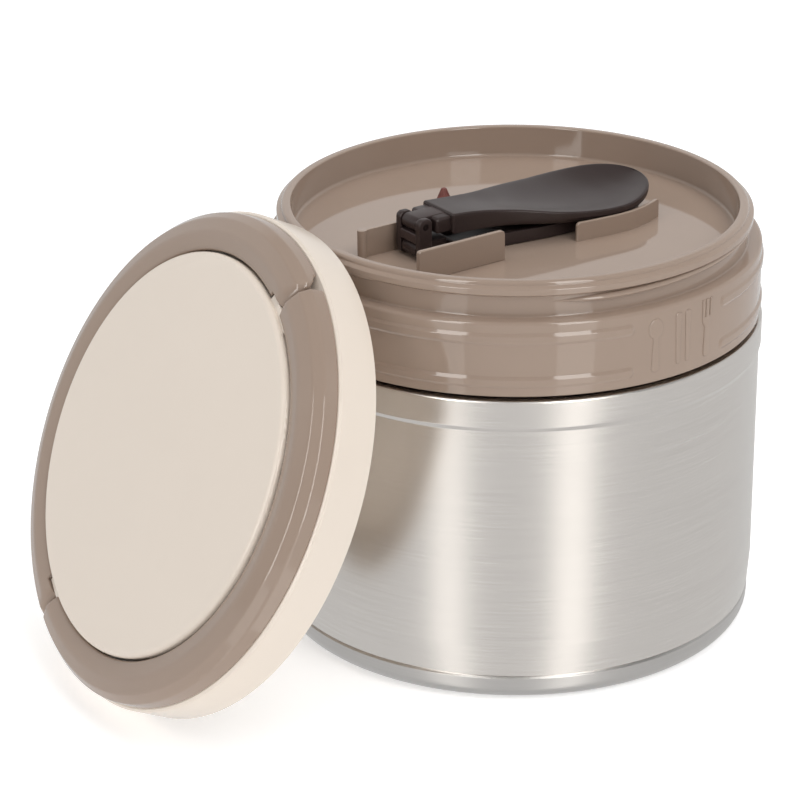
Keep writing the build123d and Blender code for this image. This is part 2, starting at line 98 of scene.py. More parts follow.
# ---- threads: (arc, lowest point, rise, half width, starts, share run in, share run out)
NECK_THREAD = (150, 100.5, 5.0, 1.3, (20, 200), 12, 12)
RIM_THREAD = (84, 121.3, 2.5, 0.9, (275.5, 35.5, 155.5), 6, 10)
COLLAR_THREAD = (100, 106.5, 3.3, 1.1, (60, 240), 6, 10)
HIDDEN_THREAD_H = 1.0

# ---- folding spoon: sizes
SPOON_TURN = 35.0
SPOON_N = -1.8
PIN_U = -37.2
HIGH_PIN = 10.45
LINK_REACH = 2.25
LINK_HALF = 5.85
LINK_H = (0.5, 12.7)
LINK_WEB = (5.15, 8.05)
CHEEK_T = 2.2
TONGUE_R = 2.05
TONGUE_HALF = 3.35
ROOT_U = PIN_U + 3.4
ROOT_H = (7.7, 12.35)
ROOT_HALF = 6.4
NECK_U = -28.2
BOWL_WIDE_U = 24.0
BOWL_TIP = 43.9
BOWL_SOFT = 0.55
BOWL_UPRIGHT = 0.96
BOWL_END_SOFT = 0.7

# ---- outer cover: sizes
COVER_R = 72.1
COVER_WALL = 2.0
COVER_BEARING = 210.4
COVER_SPIN = 64.0
HOOK_H = 0.125
LEAN_GAP = 0.35
SKIRT_H = 12.2
SKIRT_EDGE = 0.7
PLATE_R = 58.3
PIN_Y = 2.0
PIN_H = 17.0
KNUCKLE_R = 3.4
KNUCKLE_GAP = 0.5
NOTCH_X = 60.6
NOTCH_STEP = 0.0012
RING_IN, RING_OUT = 58.9, 71.2
RING_CROWN = [(RING_IN, 19.3, 1.0), (64.0, 20.4, 4.0), (68.4, 18.8, 1.6), (70.6, 16.3, 1.6)]
BAIL_RISE = 0.3
FIXED_NOTCH, FIXED_ROUND = 5.0, 1.5
BAIL_NOTCH, BAIL_ROUND = 3.5, 2.4

# ---- stage: metres, radians for the camera, degrees for the cards, watts
CAMERA_PLACE = (-0.033806, -0.833866, 0.425555)
CAMERA_PITCH, CAMERA_ROLL = 0.4099485, -0.0075553
CAMERA_SENSOR = 36.0
FLOOR_REACH = 6.0
FLOOR_SEEN, FLOOR_BOUNCE = 0.45, 0.55
WORLD_FILL, WORLD_SEEN = 0.45, 0.55
MIRROR_DIM, MIRROR_DARK = 0.22, 0.45
CARD_AWAY, CARD_FOOT, CARD_TOP, CARD_UNDER, CARD_GLOW = 1.2, 0.05, 1.9, -1.6, 6.5
CARD_COLOUR = (1.0, 0.985, 0.96)
CARDS = (("left", 239.0, 0.30, 1.75), ("right", 295.5, 0.36, 1.8))
LAMP_AIM = (0, 0, 0.06)
LAMPS = (("key", (0.7, -0.9, 1.5), 1.0, 12.0), ("top", (0.1, 0.3, 1.7), 1.4, 10.0),
         ("fill", (-1.2, -1.0, 0.9), 1.0, 4.0))


# ---- placing
def turn_z(angle):
    """4x4 turn about Z by an angle in degrees."""
    return np.array(Matrix.Rotation(radians(angle), 4, "Z"))


def shift(x, y, z):
    """4x4 shift in millimetres."""
    return np.array(Matrix.Translation((x, y, z)))


def cover_matrix():
    """Frame of the leaning cover: its mouth's centre, with Z out of its face and X along the bail's pins."""
    tilt = asin((RIM_TOP + HOOK_H) / (2 * COVER_R - COVER_WALL))
    bearing = radians(COVER_BEARING)
    away = RIM_R + LEAN_GAP + RIM_TOP / tan(tilt) - COVER_R * cos(tilt)
    z = np.array([sin(tilt) * cos(bearing), sin(tilt) * sin(bearing), cos(tilt)])
    x = np.array([-sin(bearing), cos(bearing), 0.0])
    placed = np.eye(4)
    placed[:3, :3] = np.stack([x, np.cross(z, x), z], 1)
    placed[:3, 3] = (away * cos(bearing), away * sin(bearing), COVER_R * sin(tilt))
    return placed @ turn_z(COVER_SPIN)


TRAY = shift(0, 0, FLOOR_Z) @ turn_z(SPOON_TURN)
SPOON = TRAY @ shift(0, SPOON_N, 0)
COVER = cover_matrix()
ROW = np.eye(4)


# ---- outlines
def rounded(corners, steps=5):
    """Closed outline from (x, y, radius) corners: a corner is cut back by radius / tan(half its angle) on
    both sides, and an arc of that radius joins the two cuts."""
    points = np.array([corner[:2] for corner in corners], float)
    outline = []
    for i, corner in enumerate(corners):
        radius, here = corner[2], points[i]
        back, ahead = points[i - 1] - here, points[(i + 1) % len(points)] - here
        back, ahead = back / np.linalg.norm(back), ahead / np.linalg.norm(ahead)
        half = acos(np.clip(back @ ahead, -1, 1)) / 2
        if radius <= 0 or half > pi / 2 - 0.01:
            outline.append(here[None])
            continue
        centre = here + (back + ahead) / np.linalg.norm(back + ahead) * radius / sin(half)
        start = here + back * radius / tan(half) - centre
        end = here + ahead * radius / tan(half) - centre
        first = atan2(start[1], start[0])
        sweep = (atan2(end[1], end[0]) - first + pi) % (2 * pi) - pi
        angle = first + sweep * np.linspace(0, 1, steps + 1)
        outline.append(centre + radius * np.stack([np.cos(angle), np.sin(angle)], 1))
    return np.concatenate(outline)


def inset(outline, distance):
    """Closed outline moved inwards by a distance, along the mean of its neighbouring sides' normals."""
    side = np.roll(outline, -1, 0) - outline
    length = np.maximum(np.linalg.norm(side, axis=1, keepdims=True), 1e-9)
    normal = np.stack([-side[:, 1], side[:, 0]], 1) / length
    following = np.roll(outline, -1, 0)
    area = np.sum(outline[:, 0] * following[:, 1] - outline[:, 1] * following[:, 0])
    both = np.sign(area) * (normal + np.roll(normal, 1, 0))
    share = np.maximum(np.sum(both * both, 1, keepdims=True) / 2, 0.35)
    return outline + distance * both / share


def sideways(path):
    """Unit vectors across a path, to its left."""
    run = np.gradient(path, axis=0)
    run /= np.linalg.norm(run, axis=1, keepdims=True)
    return np.stack([-run[:, 1], run[:, 0]], 1)


def gone_along(path):
    """Length gone at each point of a path."""
    return np.concatenate([[0], np.cumsum(np.linalg.norm(np.diff(path, axis=0), axis=1))])


def corner_drop(to_end, radius):
    """How far an end rounded by a radius r drops at a distance s from it: r - sqrt(r^2 - (r - s)^2)."""
    return radius - np.sqrt(np.maximum(radius ** 2 - np.maximum(radius - to_end, 0) ** 2, 0))


def stations(length, radius, fine, coarse):
    """Places along a length, closer together near both ends, and how far each is from the nearer end."""
    ends = radius * (1 - np.cos(np.linspace(0, pi / 2, fine)))
    at = np.concatenate([ends, np.linspace(radius, length - radius, coarse)[1:-1], length - ends[::-1]])
    return at, np.minimum(at, length - at)


def smooth(x, knots):
    """Cubic curve through (x, y) knots: each stretch is a Hermite cubic whose end slopes are those of the
    chords between the neighbouring knots."""
    knots = np.array(knots, float)
    kx, ky = knots[:, 0], knots[:, 1]
    slope = np.gradient(ky, kx)
    i = np.clip(np.searchsorted(kx, x) - 1, 0, len(kx) - 2)
    step = kx[i + 1] - kx[i]
    t = (x - kx[i]) / step
    return ((1 + 2 * t) * (1 - t) ** 2 * ky[i] + t * (1 - t) ** 2 * step * slope[i]
            + t * t * (3 - 2 * t) * ky[i + 1] + t * t * (t - 1) * step * slope[i + 1])


# ---- surfaces
def surface(points, wrap_rows=False, wrap_columns=False, first_cap=False, last_cap=False):
    """Part made of a grid of points: quads between them, wrapped round if asked, and a flat cap on the first
    or last row if asked."""
    rows, columns = points.shape[:2]
    i, j = np.arange(rows - (not wrap_rows)), np.arange(columns - (not wrap_columns))
    i, j = np.meshgrid(i, j, indexing="ij")
    down, right = (i + 1) % rows, (j + 1) % columns
    corners = [i * columns + j, i * columns + right, down * columns + right, down * columns + j]
    faces = np.stack(corners, -1).reshape(-1, 4).tolist()
    if first_cap:
        faces.append(list(range(columns))[::-1])
    if last_cap:
        faces.append(list(range((rows - 1) * columns, rows * columns)))
    return points.reshape(-1, 3), faces


def joined(*parts):
    """One part out of several: points one after the other, with the faces' numbers moved on."""
    starts = np.cumsum([0] + [len(points) for points, _ in parts])
    faces = [[index + start for index in face] for (_, own), start in zip(parts, starts) for face in own]
    return np.concatenate([points for points, _ in parts]), faces


def closed(part):
    """Closed part with same-place points welded, vanished faces gone and the others turned outwards."""
    mesh = bpy.data.meshes.new("closed")
    mesh.from_pydata(part[0].tolist(), [], part[1])
    work = bmesh.new()
    work.from_mesh(mesh)
    bpy.data.meshes.remove(mesh)
    bmesh.ops.remove_doubles(work, verts=work.verts, dist=1e-4)
    bmesh.ops.dissolve_degenerate(work, dist=1e-5, edges=work.edges)
    bmesh.ops.recalc_face_normals(work, faces=work.faces)
    mesh = bpy.data.meshes.new("closed")
    work.to_mesh(mesh)
    work.free()
    points = np.empty(len(mesh.vertices) * 3)
    mesh.vertices.foreach_get("co", points)
    corners = np.empty(len(mesh.loops), int)
    mesh.loops.foreach_get("vertex_index", corners)
    starts = np.empty(len(mesh.polygons), int)
    mesh.polygons.foreach_get("loop_start", starts)
    bpy.data.meshes.remove(mesh)
    return points.reshape(-1, 3), [face.tolist() for face in np.split(corners, starts[1:])]


def capped(rings):
    """Closed part made of rings of points one after the other, with a flat cap at each end."""
    return closed(surface(rings, False, True, True, True))


def lathe(outline, count):
    """Surface of revolution: outline point (r, z) goes to (r cos t, r sin t, z) as t goes round the axis."""
    t = np.linspace(0, 2 * pi, count, endpoint=False)[:, None]
    r, z = outline[:, 0][None], outline[:, 1][None]
    return closed(surface(np.stack([r * np.cos(t), r * np.sin(t), z + 0 * t], -1), True, True))


def on_drum(radius, bearing=0.0, way=1):
    """Map from (distance round, height, distance off) to space, on the outside of an upright drum, or on its
    inside where way is -1."""
    def to_space(along, up, off):
        t, r = radians(bearing) + along / radius, radius + way * off
        return np.stack([r * np.cos(t), r * np.sin(t), up + 0 * t], -1)
    return to_space


def ridge(path, half_width, height, to_space, taper, sink=0.4, steps=10):
    """Low bead along a path on a surface. At an angle a its section lies half_width cos a across the path
    and height sin a off the surface. A taper from 0 to 1 scales its height, and its width from 1/4 up."""
    a = np.linspace(0, pi, steps + 1)
    side = half_width * np.concatenate([[1], np.cos(a), [-1]])
    off = np.concatenate([[-sink], height * np.sin(a), [-sink]])
    across_by = side * (0.25 + 0.75 * taper)[:, None]
    plan = path[:, None] + sideways(path)[:, None] * across_by[..., None]
    lift = np.where(off > 0, off * taper[:, None], off)
    return capped(to_space(plan[..., 0], plan[..., 1], lift))


def thread(radius, height, arc, low, rise, half_width, starts, run_in, run_out, way=1, count=80):
    """Starts of a thread. Each climbs as low + rise t over its arc in degrees, and its height fades as
    s^2 (3 - 2 s), where s is the lesser of run_in t and run_out (1 - t)."""
    t = np.linspace(0, 1, count)
    s = np.clip(np.minimum(t * run_in, (1 - t) * run_out), 0, 1)
    path = np.stack([t * radians(arc) * radius, low + rise * t], 1)
    return joined(*[ridge(path, half_width, height, on_drum(radius, start, way), s * s * (3 - 2 * s))
                    for start in starts])


def prism(outline, low, high, bevel=0.0, steps=3):
    """Upright prism whose two end edges are rounded: bevel (1 - sin a) from an end, the outline is inset by
    bevel (1 - cos a)."""
    a = np.linspace(0, pi / 2, steps + 1)
    rise, cut = bevel * (1 - np.sin(a)), bevel * (1 - np.cos(a))
    heights = np.concatenate([low + rise[::-1], high - rise])
    cuts = np.concatenate([cut[::-1], cut])
    rows = [np.column_stack([inset(outline, c), np.full(len(outline), z)]) for z, c in zip(heights, cuts)]
    return capped(np.array(rows))


# ---- pieces
def linked(name, data):
    """New object in the scene."""
    made = bpy.data.objects.new(name, data)
    bpy.context.scene.collection.objects.link(made)
    return made


def smoothed(mesh, finish, crease):
    """Smooth shading up to an angle, and a finish's material."""
    mesh.shade_smooth()
    mesh.set_sharp_from_angle(angle=radians(crease))
    mesh.materials.clear()
    mesh.materials.append(material(finish))


def piece(name, part, body, finish, node=None, crease=CREASE, matrix=ROW):
    """Object made of a part in millimetres and moved by a 4x4 matrix. It rides on a body, and may stand for a
    node."""
    points = part[0] @ matrix[:3, :3].T + matrix[:3, 3]
    mesh = bpy.data.meshes.new(name)
    mesh.from_pydata((points * MM).tolist(), [], part[1])
    smoothed(mesh, finish, crease)
    made = linked(name, mesh)
    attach(made, body)
    if node:
        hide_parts(node)


def eased(name, node, body, finish, bevel):
    """Object that stands for a node: its solid with flat faces made whole and sharp edges rounded over."""
    work = bmesh.new()
    work.from_mesh(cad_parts[node].data)
    bmesh.ops.remove_doubles(work, verts=work.verts, dist=2e-7)
    bmesh.ops.dissolve_degenerate(work, dist=1e-7, edges=work.edges)
    bmesh.ops.dissolve_limit(work, angle_limit=radians(0.4), verts=work.verts, edges=work.edges)
    mesh = bpy.data.meshes.new(name)
    work.to_mesh(mesh)
    work.free()
    made = linked(name, mesh)
    soft = made.modifiers.new("edges", "BEVEL")
    soft.width = bevel * MM
    soft.segments = 3
    soft.limit_method = "ANGLE"
    soft.angle_limit = radians(CREASE)
    soft.use_clamp_overlap = True
    seen = made.evaluated_get(bpy.context.evaluated_depsgraph_get())
    mesh = bpy.data.meshes.new_from_object(seen)
    made.modifiers.clear()
    made.data = mesh
    smoothed(mesh, finish, CREASE)
    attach(made, body)
    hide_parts(node)


def finish_nodes(finish, *nodes):
    """Better material on nodes that keep their own solids."""
    for node in nodes:
        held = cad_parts[node].data
        held.materials.clear()
        held.materials.append(material(finish))


# ---- materials
def blank(name):
    """New material with only an output: the material, its tree and the output's socket."""
    made = bpy.data.materials.new(name)
    made.use_nodes = True
    made.node_tree.nodes.clear()
    return made, made.node_tree, node_in(made.node_tree, "ShaderNodeOutputMaterial").inputs["Surface"]


def wire(source, target):
    """Link between two sockets of a tree."""
    source.id_data.links.new(source, target)


def node_in(tree, kind, **settings):
    """New shader node with settings: attributes by name, or inputs by their labels with _ for a space."""
    made = tree.nodes.new(kind)
    for key, value in settings.items():
        if hasattr(made, key):
            setattr(made, key, value)
        else:
            made.inputs[key.replace("_", " ")].default_value = value
    return made


def maths(tree, operation, first, second):
    """Maths node on two values or sockets."""
    made = tree.nodes.new("ShaderNodeMath")
    made.operation = operation
    for socket, value in zip(made.inputs, (first, second)):
        if isinstance(value, (int, float)):
            socket.default_value = value
        else:
            wire(value, socket)
    return made.outputs[0]


def eased_step(tree, value, start, end):
    """Smooth step of a value, from 0 at the start to 1 at the end."""
    made = node_in(tree, "ShaderNodeMapRange", interpolation_type="SMOOTHSTEP")
    for label, limit in (("From Min", start), ("From Max", end), ("To Min", 0.0), ("To Max", 1.0)):
        made.inputs[label].default_value = limit
    wire(value, made.inputs["Value"])
    return made.outputs[0]


def stretched_noise(tree, size, stretch, detail=3.0, roughness=0.55):
    """Noise on Object coordinates, with features of a size in metres, and (x, y, z) stretched by factors."""
    where = node_in(tree, "ShaderNodeTexCoord")
    mapping = node_in(tree, "ShaderNodeMapping")
    mapping.inputs["Scale"].default_value = [1.0 / (size * factor) for factor in stretch]
    noise = node_in(tree, "ShaderNodeTexNoise", Scale=1.0, Detail=detail, Roughness=roughness)
    wire(where.outputs["Object"], mapping.inputs["Vector"])
    wire(mapping.outputs["Vector"], noise.inputs["Vector"])
    return noise.outputs["Fac"]


def pattern_group(name, **values):
    """Empty shader node group: a tint and values go in, and a colour, roughness and height come out."""
    tree = bpy.data.node_groups.new(name, "ShaderNodeTree")
    tree.interface.new_socket("Tint", in_out="INPUT", socket_type="NodeSocketColor")
    for label, value in values.items():
        tree.interface.new_socket(label, in_out="INPUT", socket_type="NodeSocketFloat").default_value = value
    tree.interface.new_socket("Colour", in_out="OUTPUT", socket_type="NodeSocketColor")
    for label in ("Roughness", "Height"):
        tree.interface.new_socket(label, in_out="OUTPUT", socket_type="NodeSocketFloat")
    return tree, tree.nodes.new("NodeGroupInput").outputs, tree.nodes.new("NodeGroupOutput").inputs


def tinted(tree, tint, change, result):
    """Wire a result to the tint multiplied by 1 + change."""
    mix = node_in(tree, "ShaderNodeMix", data_type="RGBA", blend_type="MULTIPLY")
    mix.inputs[0].default_value = 1.0
    wire(tint, mix.inputs[6])
    grey = node_in(tree, "ShaderNodeCombineColor")
    factor = maths(tree, "ADD", change, 1.0)
    for socket in grey.inputs:
        wire(factor, socket)
    wire(grey.outputs[0], mix.inputs[7])
    wire(mix.outputs[2], result)


def moulded_group():
    """Moulded plastic: the tint wanders a little, a painted highlight makes sharp edges paler in smeared
    patches, and fine grain lifts the surface.
    """
    tree, given, result = pattern_group("moulded_plastic", Wander=0.05, Gloss=0.2, Smears=0.05, Wear=0.1)
    broad = stretched_noise(tree, 0.03, (1, 1, 1))
    smear = stretched_noise(tree, 0.012, (1, 2, 1), 5.0, 0.65)
    grain = stretched_noise(tree, 0.00045, (1, 1, 1), 2.0)
    wander = maths(tree, "MULTIPLY", maths(tree, "SUBTRACT", broad, 0.5), given["Wander"])
    shape = node_in(tree, "ShaderNodeNewGeometry")
    # Painted highlight: the pointiness of sharp edges lightens the base colour, in patches of the smear
    # noise.
    edge = eased_step(tree, shape.outputs["Pointiness"], 0.52, 0.62)
    edge_highlight = maths(tree, "MULTIPLY", maths(tree, "MULTIPLY", edge, given["Wear"]), smear)
    tinted(tree, given["Tint"], maths(tree, "ADD", wander, edge_highlight), result["Colour"])
    streaks = maths(tree, "MULTIPLY", maths(tree, "SUBTRACT", smear, 0.5), given["Smears"])
    wire(maths(tree, "ADD", given["Gloss"], streaks), result["Roughness"])
    wire(grain, result["Height"])
    return tree


def brushed_group():
    """Brushed steel: hair-thin lines run round the jar, with cloudy patches and a few longer marks."""
    tree, given, result = pattern_group("brushed_steel", Lines=0.1, Clouds=0.06, Gloss=0.28)
    fine = stretched_noise(tree, 0.00042, (80, 80, 1), 2.0, 0.6)
    long = stretched_noise(tree, 0.0009, (45, 45, 1), 3.0, 0.6)
    cloud = stretched_noise(tree, 0.02, (1.6, 1.6, 1), 4.0, 0.6)
    lines = maths(tree, "ADD", maths(tree, "MULTIPLY", fine, 0.85), maths(tree, "MULTIPLY", long, 0.15))
    lines = maths(tree, "SUBTRACT", lines, 0.5)
    shade = maths(tree, "MULTIPLY", lines, given["Lines"])
    patch = maths(tree, "MULTIPLY", maths(tree, "SUBTRACT", cloud, 0.5), given["Clouds"])
    tinted(tree, given["Tint"], maths(tree, "ADD", shade, patch), result["Colour"])
    rough = maths(tree, "ADD", given["Gloss"], maths(tree, "MULTIPLY", lines, 0.10))
    wire(maths(tree, "SUBTRACT", rough, maths(tree, "MULTIPLY", patch, 0.5)), result["Roughness"])
    wire(lines, result["Height"])
    return tree


# kind of pattern: (name of its node group, its builder, labels of its values)
PATTERNS = {
    "steel": ("brushed_steel", brushed_group, ("Gloss", "Lines", "Clouds")),
    "plastic": ("moulded_plastic", moulded_group, ("Gloss", "Wander", "Smears", "Wear")),
}
# finish: (kind of pattern, tint or the setting that holds it, the pattern's values, bump in mm, its strength)
# For plastic, the last of the pattern's values sets the strength of a painted highlight on sharp edges.
FINISHES = {
    "steel_body": ("steel", "steel", (0.25, 0.17, 0.04), 0.006, 0.12),
    "steel_liner": ("steel", (0.6, 0.585, 0.57), (0.22, 0.08, 0.1), 0.01, 0.1),
    "steel_base": ("steel", (0.5, 0.485, 0.47), (0.3, 0.12, 0.1), 0.01, 0.15),
    "getter_metal": ("steel", (0.35, 0.35, 0.35), (0.45, 0.1, 0.2), 0.02, 0.2),
    "pin_steel": ("steel", (0.55, 0.54, 0.53), (0.25, 0.1, 0.05), 0.01, 0.1),
    "taupe_gloss": ("plastic", "taupe", (0.06, 0.05, 0.04, 0.08), 0.003, 0.04),
    "cream_plastic": ("plastic", "cream", (0.24, 0.03, 0.06, 0.03), 0.006, 0.15),
    "plug_plastic": ("plastic", (0.66, 0.58, 0.5), (0.35, 0.05, 0.06, 0.05), 0.01, 0.2),
    "foam": ("plastic", (0.82, 0.78, 0.68), (0.8, 0.12, 0.1, 0.0), 0.25, 0.6),
    "silicone_clear": ("plastic", (0.72, 0.69, 0.64), (0.45, 0.05, 0.1, 0.0), 0.01, 0.2),
    "silicone_dark": ("plastic", (0.155, 0.045, 0.036), (0.55, 0.1, 0.15, 0.1), 0.015, 0.3),
    "spoon_brown": ("plastic", "spoon", (0.38, 0.1, 0.1, 0.9), 0.01, 0.35),
}
SHADER_EXTRAS = {"spoon_brown": ("Specular IOR Level", 0.38), "steel_body": ("Anisotropic", 0.55)}


def material(finish):
    """Material of a finish, built the first time it is asked for."""
    made = bpy.data.materials.get(finish + "_look")
    if made:
        return made
    kind, tint, values, depth, strength = FINISHES[finish]
    if isinstance(tint, str):
        tint = getattr(bpy.context.scene.foodjar_colours, tint)
    made = bpy.data.materials.new(finish + "_look")
    made.use_nodes = True
    tree = made.node_tree
    shader = tree.nodes["Principled BSDF"]
    shader.inputs["Metallic"].default_value = float(kind == "steel")
    name, build, labels = PATTERNS[kind]
    pattern = node_in(tree, "ShaderNodeGroup", node_tree=bpy.data.node_groups.get(name) or build(),
                      Tint=(*tint, 1.0), **dict(zip(labels, values)))
    wire(pattern.outputs["Colour"], shader.inputs["Base Color"])
    wire(pattern.outputs["Roughness"], shader.inputs["Roughness"])
    bump = node_in(tree, "ShaderNodeBump", Strength=strength, Distance=depth * MM)
    wire(pattern.outputs["Height"], bump.inputs["Height"])
    wire(bump.outputs["Normal"], shader.inputs["Normal"])
    if finish in SHADER_EXTRAS:
        label, value = SHADER_EXTRAS[finish]
        shader.inputs[label].default_value = value
    if finish == "steel_body":
        tangent = node_in(tree, "ShaderNodeTangent", direction_type="RADIAL", axis="Z")
        wire(tangent.outputs["Tangent"], shader.inputs["Tangent"])
    return made


# ---- settings
class FoodJarSizes(PropertyGroup):
    """Sizes that a user would change."""
    thread_height: FloatProperty(
        name="Thread height", description="How far the rim's thread stands out", default=1.4 * MM, min=0.0,
        subtype="DISTANCE", unit="LENGTH")
    band_height: FloatProperty(
        name="Band height", description="How far the grip bands stand out", default=0.5 * MM, min=0.0,
        subtype="DISTANCE", unit="LENGTH")
    sign_height: FloatProperty(
        name="Sign height", description="How far the collar's signs stand out", default=0.35 * MM, min=0.0,
        subtype="DISTANCE", unit="LENGTH")
    around: IntProperty(name="Segments", description="Segments round every turned piece", default=256, min=24)


class FoodJarColours(PropertyGroup):
    """Colours that a user would change."""
    steel: FloatVectorProperty(
        name="Steel", description="Tint of the brushed body", default=(0.64, 0.61, 0.58), subtype="COLOR")
    taupe: FloatVectorProperty(
        name="Taupe", description="Tint of the lid and ring", default=(0.332, 0.25, 0.197), subtype="COLOR")
    cream: FloatVectorProperty(
        name="Cream", description="Tint of the outer cover", default=(0.77, 0.68, 0.59), subtype="COLOR")
    spoon: FloatVectorProperty(
        name="Spoon", description="Tint of the spoon", default=(0.033, 0.0215, 0.02), subtype="COLOR")
    floor: FloatVectorProperty(
        name="Floor", description="Colour of the floor", default=(0.82, 0.82, 0.82), subtype="COLOR")


class FoodJarStage(PropertyGroup):
    """Setting of the camera."""
    lens: FloatProperty(name="Lens", description="Focal length of the camera", default=136.58, unit="CAMERA")


# ---- steel vessel
class FOODJAR_OT_vessel(Operator):
    """Double-walled steel vessel with its base and the thread on its neck"""
    bl_idname = "foodjar.vessel"
    bl_label = "Vessel"

    def execute(self, context):
        around = context.scene.foodjar_sizes.around
        shell = rounded([
            (FOOT_R - GROOVE, BASE_H, 0), (FOOT_R, BASE_H + GROOVE, 0.15), (BODY_R, TAPER_Z, 3),
            (BODY_R, BAND_LOW, 1.0), (BAND_R, BAND_FULL, 1.0), (BAND_R, SHOULDER_Z, 0.7),
            (NECK_R, SHOULDER_Z, 0.9), (NECK_R, MOUTH_Z - SHEET, 0), (NECK_R - SHEET, MOUTH_Z - SHEET, 0),
            (NECK_R - SHEET, SHOULDER_Z - SHEET, 0.3), (BODY_R, SHOULDER_Z - SHEET, 0.6),
            (BODY_R, BAND_FULL, 0), (BODY_R - SHEET, BAND_LOW, 0), (BODY_R - SHEET, TAPER_Z, 0),
            (FOOT_R - SHEET, BASE_H, 0)])
        piece("outer_shell_brushed", lathe(shell, around), "jar", "steel_body", "outer_shell")
        liner = rounded([
            (0, LINER_Z, 0), (LINER_R, LINER_Z, LINER_ROUND), (LINER_R, MOUTH_Z - SHEET, 0),
            (NECK_R, MOUTH_Z - SHEET, 0), (NECK_R, MOUTH_Z, 0.3), (LINER_R - SHEET, MOUTH_Z, 0.3),
            (LINER_R - SHEET, LINER_Z + SHEET, LINER_ROUND - SHEET), (0, LINER_Z + SHEET, 0)], 12)
        piece("food_liner", lathe(liner, around), "jar", "steel_liner", "inner_vessel")
        stamp = [(STAMP_R, 0), (STAMP_R + STAMP_D, STAMP_D), (STAMP_R + STAMP_W - STAMP_D, STAMP_D),
                 (STAMP_R + STAMP_W, 0)]
        base = rounded([
            (0, 0, 0), *[(r, z, 0.5) for r, z in stamp], (FOOT_R, 0, FOOT_ROUND),
            (FOOT_R, BASE_H - GROOVE, 0.15), (FOOT_R - GROOVE, BASE_H, 0), (LIP_R, BASE_H, 0),
            (LIP_R, BASE_H + LIP_H, 0), (LIP_R - SHEET, BASE_H + LIP_H, 0),
            (LIP_R - SHEET, SHEET, FOOT_ROUND - SHEET),
            *[(r, z + SHEET, 0.5) for r, z in stamp[::-1]], (0, SHEET, 0)], 8)
        piece("base_pressed", lathe(base, around), "jar", "steel_base", "base_cap")
        finish_nodes("getter_metal", "getter_disc")
        neck = thread(NECK_R, HIDDEN_THREAD_H, *NECK_THREAD, count=90)
        piece("neck_thread", neck, "jar", "steel_body")
        return {"FINISHED"}


# ---- inner lid
def band(low, high, height, start, end, sink=0.6):
    """Raised band round the collar with rounded ends: off the wall by height * min(s / GRIP_SLOPE, 1),
    where s is the distance from its stadium-shaped outline."""
    half, middle = (high - low) / 2, (high + low) / 2
    along, to_end = stations(radians(end - start) * COLLAR_R, half, 16, 240)
    wide = np.maximum(half - corner_drop(to_end, half), 1e-3)
    v = np.linspace(-1, 1, 25)
    up = wide[:, None] * v
    edge = half - np.hypot(np.maximum(half - to_end, 0)[:, None], up)
    off = height * np.clip(edge / GRIP_SLOPE, 0, 1)
    to_space = on_drum(COLLAR_R, start)
    top = to_space(along[:, None] + 0 * v, middle + up, off)
    under = to_space(along[:, None] + 0 * v, middle + up[:, ::-1], 0 * off - sink)
    return capped(np.concatenate([top, under], 1))


class FOODJAR_OT_collar(Operator):
    """Collar of the inner lid with its grip bands and threads"""
    bl_idname = "foodjar.collar"
    bl_label = "Lid collar"

    def execute(self, context):
        sizes = context.scene.foodjar_sizes
        bead = ((RIM_R, -2.0, 0.4), (BEAD_R, -1.2, 0.5), (BEAD_R, 0.5, 0.4), (RIM_R, 1.2, 0.3))
        outline = rounded([
            (FLOOR_R, UNDER_Z, 0), (COLLAR_IN, UNDER_Z, 0.3), (COLLAR_IN, COLLAR_LOW, 0.3),
            (COLLAR_R, COLLAR_LOW, 0.5), (COLLAR_R, COLLAR_TOP, 1.0), (RIM_R, COLLAR_TOP, 0.5),
            *[(r, BEAD_Z + up, radius) for r, up, radius in bead],
            (RIM_R, RIM_TOP, 1.0), (TRAY_R, RIM_TOP, 0.5), (TRAY_R, FLOOR_Z, 1.0), (FLOOR_R, FLOOR_Z, 0)], 6)
        piece("lid_collar_moulded", lathe(outline, sizes.around), "inner_lid", "taupe_gloss", "lid_collar")
        bands = [band(low, high, sizes.band_height / MM, GRIP_FROM, GRIP_TO) for low, high in GRIP_BANDS]
        piece("grip_bands", joined(*bands), "inner_lid", "taupe_gloss")
        rim = thread(RIM_R, sizes.thread_height / MM, *RIM_THREAD)
        piece("rim_thread", rim, "inner_lid", "taupe_gloss")
        inner = thread(COLLAR_IN, HIDDEN_THREAD_H, *COLLAR_THREAD, way=-1)
        piece("collar_thread", inner, "inner_lid", "taupe_gloss")
        return {"FINISHED"}


def arc_points(centre, radius, start, end, count=24):
    """Points of an ellipse's arc between two angles in degrees."""
    t = np.radians(np.linspace(start, end, count))
    return np.stack([centre[0] + radius[0] * np.cos(t), centre[1] + radius[1] * np.sin(t)], 1)


def dense(outline, step=0.3):
    """Closed outline with points at about equal steps along it."""
    whole = np.concatenate([outline, outline[:1]])
    gone = gone_along(whole)
    at = np.linspace(0, gone[-1], max(int(gone[-1] / step), 4), endpoint=False)
    return np.stack([np.interp(at, gone, whole[:, 0]), np.interp(at, gone, whole[:, 1])], 1)


def spoon_sign():
    """Outline of a spoon: an oval on a handle that widens towards its round foot."""
    bowl = arc_points((0, 110.9), (2.45, 3.0), -68, 248, 40)
    foot = arc_points((0, 99.2), (1.4, 1.2), 180, 360, 12)
    return np.concatenate([bowl, foot])


def stick_sign(x):
    """Outline of one chopstick: a long bar that narrows downwards, with round ends."""
    return np.concatenate([arc_points((x, 113.2), (1.15, 0.9), 0, 180, 12),
                           arc_points((x, 99.3), (0.75, 0.7), 180, 360, 12)])


